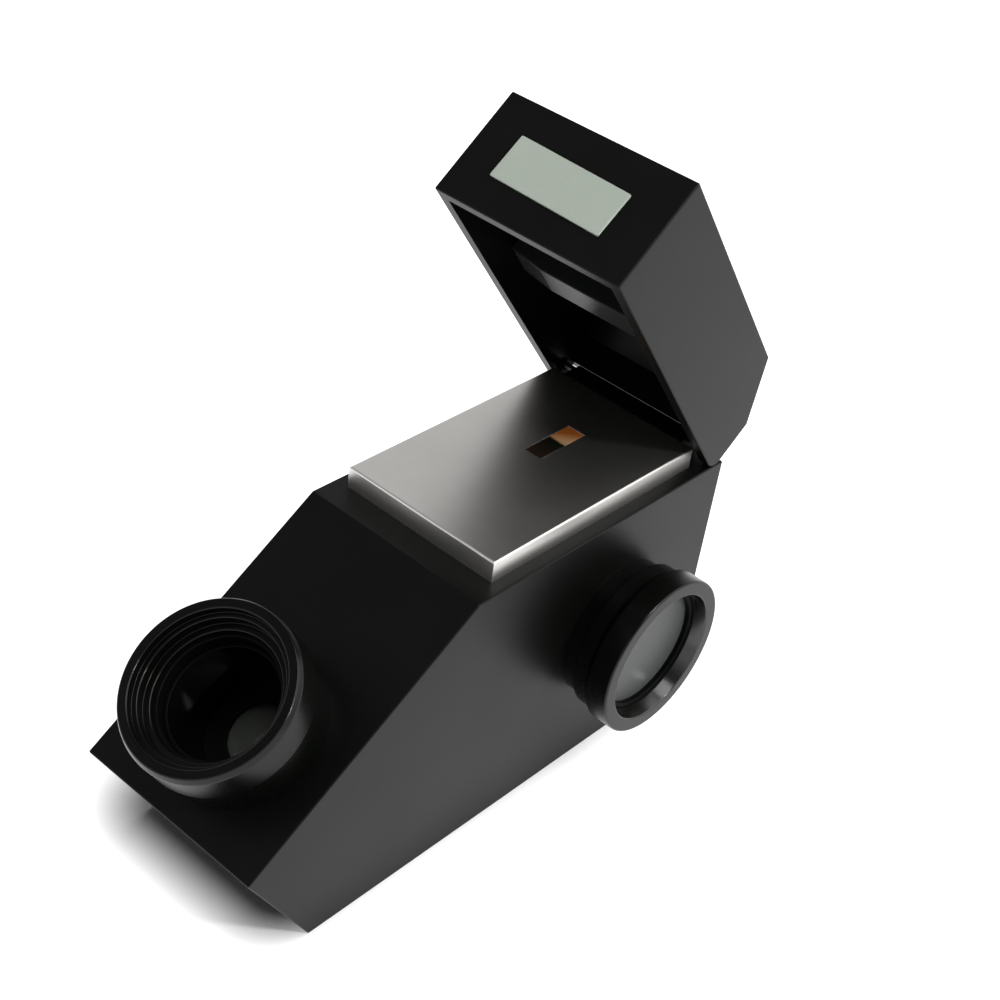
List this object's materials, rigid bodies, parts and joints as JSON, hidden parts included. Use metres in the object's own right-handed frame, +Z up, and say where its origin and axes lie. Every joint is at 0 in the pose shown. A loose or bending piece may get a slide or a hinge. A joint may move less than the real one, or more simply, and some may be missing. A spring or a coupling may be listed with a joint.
{
  "type": "gem refractometer",
  "caption": "Hand-held gem refractometer: a wedge-nosed box with a hinged lid over its metal stage, an eyepiece on the slope and a round light port in the side.",
  "frame": {"origin": "on the resting face, straight below the middle of the prism's top face", "axes": "+Z up, +Y along the body towards the lid's hinge, +X across towards the light port"},
  "size_m": [0.0415, 0.1026, 0.0959],
  "materials": {
    "dark_anodised": "dark grey anodised, fine blasted satin",
    "dark_base": "black anodised, satin",
    "nickel": "clear anodised, fine brushed",
    "black_anodised": "black anodised, satin",
    "steel": "turned, bright",
    "black_plastic": "moulded, glossy",
    "acetal": "black acetal, satin",
    "label": "printed film, matt",
    "optical_glass": "polished",
    "frosted_glass": "ground",
    "amber_glass": "coloured, polished",
    "mirror": "front-silvered glass"
  },
  "bodies": {
    "base": {"housing": "dark_anodised", "hinge_block": "dark_anodised", "base_plate": "dark_base", "stage_plate": "nickel", "eyepiece_base": "black_anodised", "eyepiece_nut": "black_anodised", "port_tube": "black_anodised", "port_nut": "black_anodised", "port_retainer": "black_anodised", "relay_tube": "black_anodised", "bulkhead": "black_anodised", "view_bracket": "black_anodised", "light_bracket": "black_anodised", "base_screws": "steel", "stage_screws": "steel", "cradle_screws": "steel", "hinge_screws": "steel", "inner_screws": "steel", "light_bracket_screws": "steel", "hinge_pin": "steel", "snap_ring": "steel", "prism_cradle": "black_plastic", "friction_washers": "acetal", "prism": "optical_glass", "objective_lens": "optical_glass", "scale_reticle": "optical_glass", "port_window": "frosted_glass", "amber_filter": "amber_glass", "light_mirror": "mirror", "view_mirror": "mirror"},
    "lid": {"lid_shell": "dark_anodised", "label_plate": "label", "lid_baffle": "black_plastic"},
    "focus_ring": {"focus_ring": "black_anodised"},
    "lens_cell": {"lens_cell": "black_anodised", "eye_lens": "optical_glass", "lens_retainer": "black_anodised"}
  },
  "joints": [
    {"name": "lid_hinge", "type": "hinge", "parent": "base", "child": "lid", "pos_m": [0, 0.0188, 0.0461], "axis": [1, 0, 0], "range_deg": [-38, 52]},
    {"name": "focus_turn", "type": "hinge", "parent": "base", "child": "focus_ring", "pos_m": [0, -0.05825, 0.02661], "axis": [0, -0.5597, 0.8287], "range_deg": [-100, 100]},
    {"name": "lens_slide", "type": "slide", "parent": "base", "child": "lens_cell", "axis": [0, -0.5597, 0.8287], "range_m": [-0.0015, 0.0015]}
  ],
  "couplings": [
    {"joint": "lens_slide", "follows": "focus_turn", "m_per_rad": 0.00085}
  ]
}
